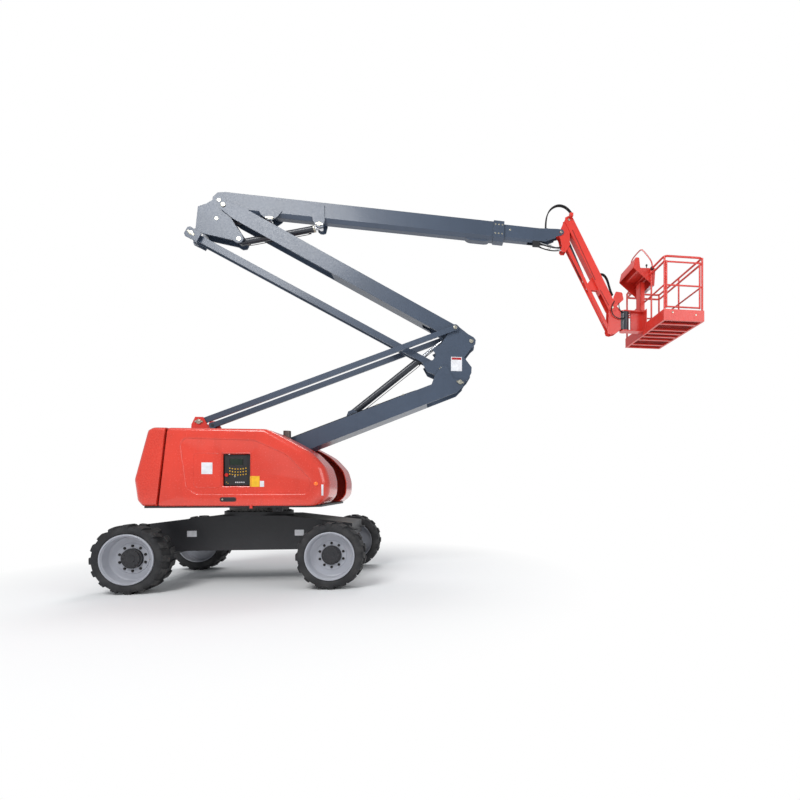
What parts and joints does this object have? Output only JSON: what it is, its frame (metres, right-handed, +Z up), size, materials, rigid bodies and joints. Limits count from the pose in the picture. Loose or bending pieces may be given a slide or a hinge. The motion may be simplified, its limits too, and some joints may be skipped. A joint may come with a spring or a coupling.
{
  "type": "articulating boom lift",
  "caption": "Self-propelled articulating boom lift with a folding riser, a telescopic main boom, a levelled jib and a railed work platform.",
  "frame": {"origin": "on the floor, on the turntable's slewing axis, midway between the axles", "axes": "+X from the slewing axis towards the work platform, +Y away from the side whose hood shows the ground control, +Z up"},
  "size_m": [10.0162, 2.486, 6.8717],
  "materials": {
    "charcoal_paint": "satin",
    "bearing_steel": "machined",
    "counterweight_paint": "satin",
    "engine_block": "satin",
    "tank_plastic": "matte",
    "exhaust_steel": "heat-darkened",
    "panel_plastic": "matte",
    "hood_shell": "gloss",
    "slate_paint": "satin",
    "red_paint": "satin",
    "barrel_paint": "satin",
    "rod_chrome": "polished",
    "tyre_rubber": "matte",
    "rim_paint": "satin",
    "hub_paint": "satin"
  },
  "bodies": {
    "chassis": {"chassis_frame": "charcoal_paint", "slew_ring": "bearing_steel", "steer_axle": "charcoal_paint", "drive_axle": "charcoal_paint", "eye_steer_near": "charcoal_paint", "eye_steer_far": "charcoal_paint", "eye_drive_near": "charcoal_paint", "eye_drive_far": "charcoal_paint"},
    "steering_near": {"steer_knuckle_near": "charcoal_paint"},
    "wheel_steer_near": {"tyre_steer_near": "tyre_rubber", "rim_steer_near": "rim_paint", "hub_steer_near": "hub_paint"},
    "wheel_drive_near": {"tyre_drive_near": "tyre_rubber", "rim_drive_near": "rim_paint", "hub_drive_near": "hub_paint"},
    "steering_far": {"steer_knuckle_far": "charcoal_paint"},
    "wheel_steer_far": {"tyre_steer_far": "tyre_rubber", "rim_steer_far": "rim_paint", "hub_steer_far": "hub_paint"},
    "wheel_drive_far": {"tyre_drive_far": "tyre_rubber", "rim_drive_far": "rim_paint", "hub_drive_far": "hub_paint"},
    "turntable": {"turntable": "charcoal_paint", "counterweight": "counterweight_paint", "engine": "engine_block", "tank": "tank_plastic", "exhaust": "exhaust_steel", "ground_panel": "panel_plastic"},
    "hood_near": {"hood_near": "hood_shell"},
    "hood_far": {"hood_far": "hood_shell"},
    "lower_boom": {"lower_boom": "slate_paint"},
    "link_one": {"link_one": "slate_paint"},
    "knuckle_one": {"knuckle_one": "slate_paint"},
    "mid_boom": {"mid_boom": "slate_paint"},
    "link_two": {"link_two": "slate_paint"},
    "knuckle_two": {"knuckle_two": "slate_paint"},
    "riser_barrel": {"riser_barrel": "barrel_paint"},
    "riser_rod": {"riser_rod": "rod_chrome"},
    "main_boom": {"main_boom": "slate_paint"},
    "lift_barrel": {"lift_barrel": "barrel_paint"},
    "lift_rod": {"lift_rod": "rod_chrome"},
    "level_barrel": {"level_barrel": "barrel_paint"},
    "level_rod": {"level_rod": "rod_chrome"},
    "fly_boom": {"fly_boom": "slate_paint"},
    "jib_head": {"jib_head": "red_paint"},
    "nose_barrel": {"nose_barrel": "barrel_paint"},
    "nose_rod": {"nose_rod": "rod_chrome"},
    "jib_tube": {"jib_tube": "red_paint"},
    "jib_link": {"jib_link": "red_paint"},
    "jib_end": {"jib_end": "red_paint", "rotator": "barrel_paint"},
    "jib_barrel": {"jib_barrel": "barrel_paint"},
    "jib_rod": {"jib_rod": "rod_chrome"},
    "platform": {"platform_support": "red_paint", "platform_floor": "red_paint", "platform_rails": "red_paint", "console": "red_paint"},
    "gate": {"gate": "red_paint"}
  },
  "joints": [
    {"name": "steer_near", "type": "hinge", "parent": "chassis", "child": "steering_near", "pos_m": [-1.475, -0.8, 0.53], "axis": [0, 0, 1], "range_deg": [-30, 30]},
    {"name": "wheel_steer_near_spin", "type": "hinge", "parent": "steering_near", "child": "wheel_steer_near", "pos_m": [-1.475, -1.0525, 0.53], "axis": [0, 1, 0], "continuous": true},
    {"name": "wheel_drive_near_spin", "type": "hinge", "parent": "chassis", "child": "wheel_drive_near", "pos_m": [1.475, -1.0525, 0.53], "axis": [0, 1, 0], "continuous": true},
    {"name": "steer_far", "type": "hinge", "parent": "chassis", "child": "steering_far", "pos_m": [-1.475, 0.8, 0.53], "axis": [0, 0, 1], "range_deg": [-30, 30]},
    {"name": "wheel_steer_far_spin", "type": "hinge", "parent": "steering_far", "child": "wheel_steer_far", "pos_m": [-1.475, 1.0525, 0.53], "axis": [0, 1, 0], "continuous": true},
    {"name": "wheel_drive_far_spin", "type": "hinge", "parent": "chassis", "child": "wheel_drive_far", "pos_m": [1.475, 1.0525, 0.53], "axis": [0, 1, 0], "continuous": true},
    {"name": "slew", "type": "hinge", "parent": "chassis", "child": "turntable", "pos_m": [0, 0, 1.292], "axis": [0, 0, 1], "continuous": true},
    {"name": "hood_near_lift", "type": "hinge", "parent": "turntable", "child": "hood_near", "pos_m": [0.1, -0.43, 2.53], "axis": [-1, 0, 0], "range_deg": [0, 60]},
    {"name": "hood_far_lift", "type": "hinge", "parent": "turntable", "child": "hood_far", "pos_m": [0.1, 0.43, 2.53], "axis": [1, 0, 0], "range_deg": [0, 60]},
    {"name": "riser_lift", "type": "hinge", "parent": "turntable", "child": "lower_boom", "pos_m": [-0.81, 0, 1.75], "axis": [0, -1, 0], "range_deg": [-22.4, 39.6]},
    {"name": "link_one_turn", "type": "hinge", "parent": "turntable", "child": "link_one", "pos_m": [-0.9, 0, 2.75], "axis": [0, -1, 0], "range_deg": [-22.45, 39.65]},
    {"name": "knuckle_one_turn", "type": "hinge", "parent": "lower_boom", "child": "knuckle_one", "pos_m": [3.58899, 0, 3.56313], "axis": [0, -1, 0], "range_deg": [-39.65, 22.45]},
    {"name": "mid_boom_turn", "type": "hinge", "parent": "knuckle_one", "child": "mid_boom", "pos_m": [3.79899, 0, 4.33313], "axis": [0, 1, 0], "range_deg": [-16.18, 28.56]},
    {"name": "link_two_turn", "type": "hinge", "parent": "knuckle_one", "child": "link_two", "pos_m": [3.26899, 0, 3.80813], "axis": [0, 1, 0], "range_deg": [-16.18, 28.56]},
    {"name": "knuckle_two_turn", "type": "hinge", "parent": "mid_boom", "child": "knuckle_two", "pos_m": [-0.55648, 0, 6.57154], "axis": [0, 1, 0], "range_deg": [-28.56, 16.18]},
    {"name": "riser_barrel_turn", "type": "hinge", "parent": "lower_boom", "child": "riser_barrel", "pos_m": [1.61636, 0, 2.98262], "axis": [0, -1, 0], "range_deg": [-5.2, 2.96]},
    {"name": "riser_rod_slide", "type": "slide", "parent": "riser_barrel", "child": "riser_rod", "axis": [0.7653, 0, 0.6436], "range_m": [-0.3861, 0.6818]},
    {"name": "main_lift", "type": "hinge", "parent": "knuckle_two", "child": "main_boom", "pos_m": [-0.64148, 0, 6.66654], "axis": [0, -1, 0], "range_deg": [0, 72]},
    {"name": "lift_barrel_turn", "type": "hinge", "parent": "knuckle_two", "child": "lift_barrel", "pos_m": [-0.31148, 0, 6.01154], "axis": [0, -1, 0], "range_deg": [-0.05, 63.03]},
    {"name": "lift_rod_slide", "type": "slide", "parent": "lift_barrel", "child": "lift_rod", "axis": [0.9673, 0, 0.2535], "range_m": [-0.001, 0.8166]},
    {"name": "level_barrel_turn", "type": "hinge", "parent": "knuckle_two", "child": "level_barrel", "pos_m": [-0.68148, 0, 6.34154], "axis": [0, -1, 0], "range_deg": [-0.05, 57.87]},
    {"name": "level_rod_slide", "type": "slide", "parent": "level_barrel", "child": "level_rod", "axis": [0.9956, 0, 0.094], "range_m": [-0.001, 0.2923]},
    {"name": "fly_slide", "type": "slide", "parent": "main_boom", "child": "fly_boom", "axis": [0.9992, 0, -0.0401], "range_m": [0, 3.9]},
    {"name": "jib_head_turn", "type": "hinge", "parent": "fly_boom", "child": "jib_head", "pos_m": [5.53836, 0, 6.53843], "axis": [0, -1, 0], "range_deg": [-72.05, 0.05]},
    {"name": "nose_barrel_turn", "type": "hinge", "parent": "fly_boom", "child": "nose_barrel", "pos_m": [4.54674, 0, 6.51821], "axis": [0, -1, 0], "range_deg": [-0.05, 4.95]},
    {"name": "nose_rod_slide", "type": "slide", "parent": "nose_barrel", "child": "nose_rod", "axis": [0.9641, 0, -0.2657], "range_m": [-0.3643, 0.001]},
    {"name": "jib_lift", "type": "hinge", "parent": "jib_head", "child": "jib_tube", "pos_m": [5.69836, 0, 6.78843], "axis": [0, -1, 0], "range_deg": [-4, 122]},
    {"name": "jib_link_turn", "type": "hinge", "parent": "jib_head", "child": "jib_link", "pos_m": [5.65836, 0, 6.31843], "axis": [0, -1, 0], "range_deg": [-4.05, 122.05]},
    {"name": "jib_end_turn", "type": "hinge", "parent": "jib_tube", "child": "jib_end", "pos_m": [6.56817, 0, 5.13869], "axis": [0, -1, 0], "range_deg": [-122.05, 4.05]},
    {"name": "jib_barrel_turn", "type": "hinge", "parent": "jib_head", "child": "jib_barrel", "pos_m": [5.65836, 0, 6.49843], "axis": [0, -1, 0], "range_deg": [-4.02, 121.22]},
    {"name": "jib_rod_slide", "type": "slide", "parent": "jib_barrel", "child": "jib_rod", "axis": [0.4021, 0, -0.9156], "range_m": [-0.0178, 0.5127]},
    {"name": "platform_turn", "type": "hinge", "parent": "jib_end", "child": "platform", "pos_m": [6.84317, 0, 4.69869], "axis": [0, 0, 1], "range_deg": [-90, 90]},
    {"name": "gate_swing", "type": "hinge", "parent": "platform", "child": "gate", "pos_m": [7.94317, -0.816, 5.29869], "axis": [0, 0, -1], "range_deg": [0, 85]}
  ],
  "couplings": [
    {"joint": "steer_far", "follows": "steer_near", "ratio": 1},
    {"joint": "link_one_turn", "follows": "riser_lift", "ratio": 1},
    {"joint": "knuckle_one_turn", "follows": "riser_lift", "ratio": -1},
    {"joint": "mid_boom_turn", "follows": "riser_lift", "ratio": 0.72},
    {"joint": "link_two_turn", "follows": "riser_lift", "ratio": 0.72},
    {"joint": "knuckle_two_turn", "follows": "riser_lift", "ratio": -0.72},
    {"joint": "riser_barrel_turn", "follows": "riser_lift", "ratio": -0.13},
    {"joint": "riser_rod_slide", "follows": "riser_lift", "m_per_rad": 0.985},
    {"joint": "lift_barrel_turn", "follows": "main_lift", "ratio": 0.8747},
    {"joint": "lift_rod_slide", "follows": "main_lift", "m_per_rad": 0.649},
    {"joint": "level_barrel_turn", "follows": "main_lift", "ratio": 0.803},
    {"joint": "level_rod_slide", "follows": "main_lift", "m_per_rad": 0.2318},
    {"joint": "jib_head_turn", "follows": "main_lift", "ratio": -1},
    {"joint": "nose_barrel_turn", "follows": "main_lift", "ratio": 0.0681},
    {"joint": "nose_rod_slide", "follows": "main_lift", "m_per_rad": -0.2891},
    {"joint": "jib_link_turn", "follows": "jib_lift", "ratio": 1},
    {"joint": "jib_end_turn", "follows": "jib_lift", "ratio": -1},
    {"joint": "jib_barrel_turn", "follows": "jib_lift", "ratio": 0.9932},
    {"joint": "jib_rod_slide", "follows": "jib_lift", "m_per_rad": 0.2403}
  ]
}
